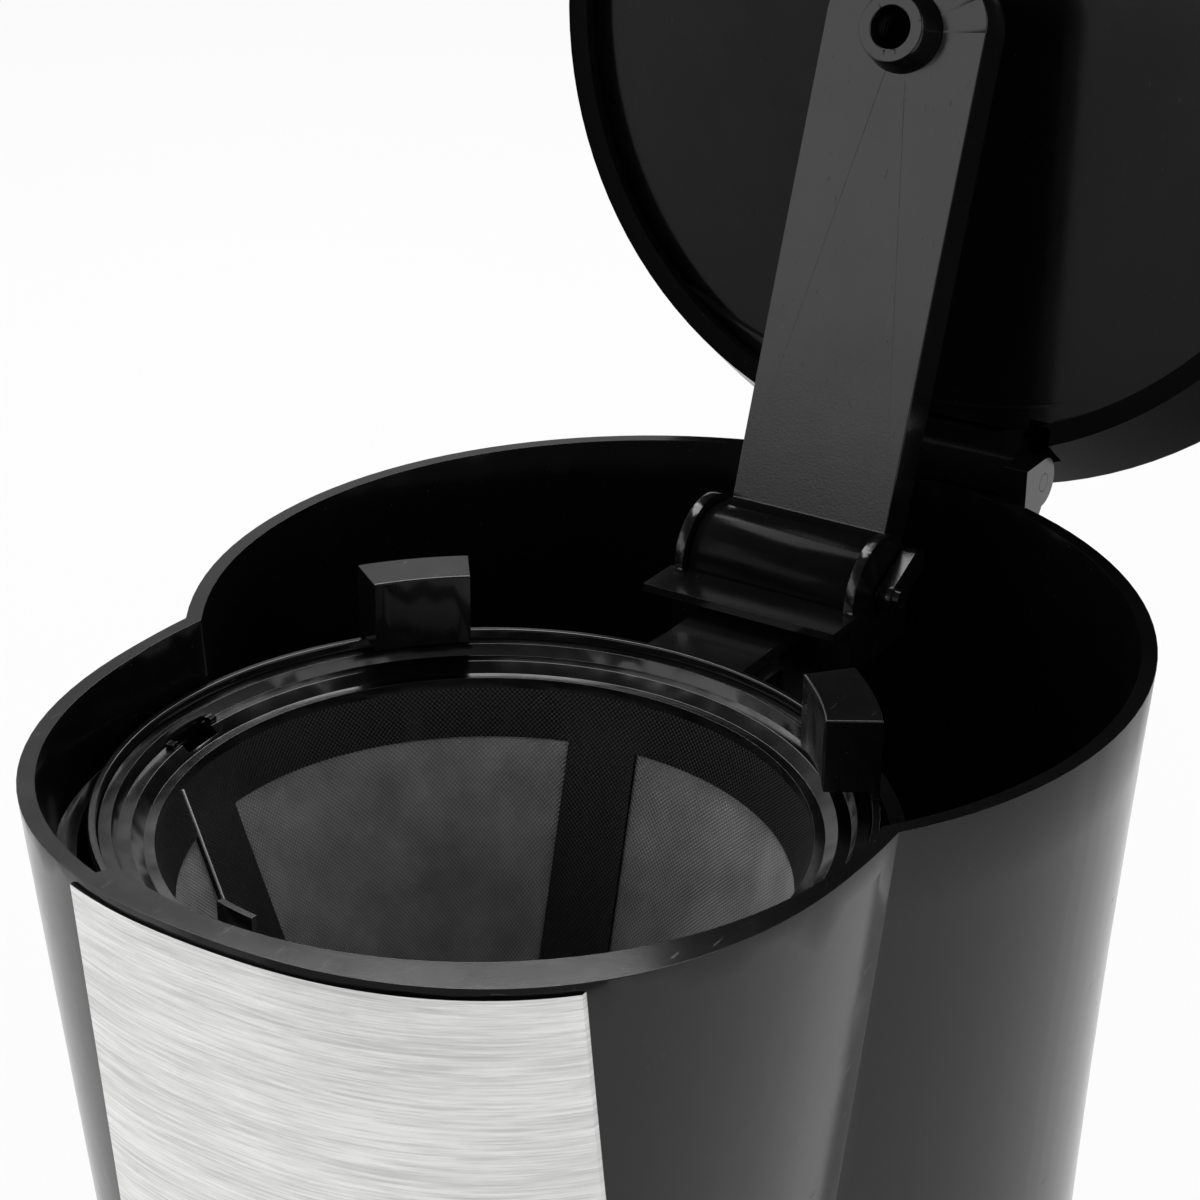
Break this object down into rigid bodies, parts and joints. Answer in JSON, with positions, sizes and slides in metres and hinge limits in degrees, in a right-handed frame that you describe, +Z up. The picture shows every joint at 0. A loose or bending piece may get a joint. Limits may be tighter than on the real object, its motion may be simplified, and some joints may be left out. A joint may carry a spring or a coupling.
{
  "type": "drip coffee maker",
  "caption": "Two-lobed drip coffee maker with its lid and water arm open, filter basket, water tank, hot plate and glass jug.",
  "frame": {"origin": "middle of the width and depth with the lid open and the jug in place, on the surface that the feet stand on", "axes": "+Z up, front towards -Y, +X to the right as seen from the front"},
  "size_m": [0.19, 0.3101, 0.5291],
  "materials": {
    "gloss_black": "polished moulding",
    "satin_black": "satin moulding",
    "matte_black": "fine texture",
    "brushed_steel": "brushed across",
    "polished_steel": "polished",
    "zinc_steel": "zinc plated",
    "plate_coating": "non-stick coat",
    "aluminium": "extruded",
    "woven_mesh": "woven wire",
    "rubber": "soft",
    "silicone": "soft milky",
    "lamp_red": "clear lens",
    "clear_glass": "clear"
  },
  "bodies": {
    "machine": {"body_shell": "gloss_black", "column_shell": "gloss_black", "base_shell": "gloss_black", "bottom_cover": "matte_black", "cover_screws": "zinc_steel", "rubber_feet": "rubber", "front_panel": "brushed_steel", "hot_plate": "plate_coating", "hot_plate_seal": "silicone", "heater_tube": "aluminium", "heater_strap": "zinc_steel", "strap_screw": "zinc_steel", "thermostat": "zinc_steel", "thermal_fuse": "zinc_steel", "check_valve": "matte_black", "cold_hose": "silicone", "hot_hose": "silicone", "hose_clamps": "zinc_steel", "riser_tube": "matte_black", "riser_grommet": "silicone", "arm_bracket": "satin_black", "bracket_screws": "zinc_steel", "filter_basket": "satin_black", "filter_frame": "satin_black", "filter_mesh": "woven_mesh", "valve_spring": "zinc_steel", "switch_bezel": "satin_black", "switch_body": "matte_black", "lamp_lens": "lamp_red", "cord_gland": "rubber", "terminal_block": "matte_black"},
    "lid": {"lid_shell": "gloss_black", "lid_liner": "gloss_black", "lid_hinge_pins": "satin_black"},
    "water_arm": {"arm_channel": "satin_black", "arm_cover": "satin_black", "arm_nozzle": "satin_black", "arm_pin": "satin_black", "arm_lever": "satin_black"},
    "jug": {"jug_glass": "clear_glass", "jug_band": "polished_steel", "jug_handle": "satin_black", "handle_screw": "zinc_steel"},
    "jug_lid": {"jug_lid": "satin_black"},
    "drip_valve": {"valve_plunger": "satin_black", "valve_seal": "silicone"},
    "rocker": {"rocker": "satin_black"}
  },
  "joints": [
    {"name": "lid_hinge", "type": "hinge", "parent": "machine", "child": "lid", "pos_m": [0, 0.0939, 0.3078], "axis": [1, 0, 0], "range_deg": [0, 100]},
    {"name": "arm_hinge", "type": "hinge", "parent": "machine", "child": "water_arm", "pos_m": [0, 0.052, 0.2965], "axis": [1, 0, 0], "range_deg": [0, 109]},
    {"name": "jug_slide", "type": "slide", "parent": "machine", "child": "jug", "axis": [0, -1, 0], "range_m": [0, 0.16]},
    {"name": "jug_lid_turn", "type": "hinge", "parent": "jug", "child": "jug_lid", "pos_m": [0, -0.0515, 0.183], "axis": [0, 0, 1], "range_deg": [0, 60]},
    {"name": "drip_stop", "type": "slide", "parent": "machine", "child": "drip_valve", "axis": [0, 0, -1], "range_m": [0, 0.004]},
    {"name": "rocker_tilt", "type": "hinge", "parent": "machine", "child": "rocker", "pos_m": [0, -0.12094, 0.032], "axis": [1, 0, 0], "range_deg": [0, 16]}
  ],
  "couplings": [
    {"joint": "arm_hinge", "follows": "lid_hinge", "ratio": 1.09},
    {"joint": "drip_stop", "follows": "jug_slide", "ratio": 0.025}
  ]
}
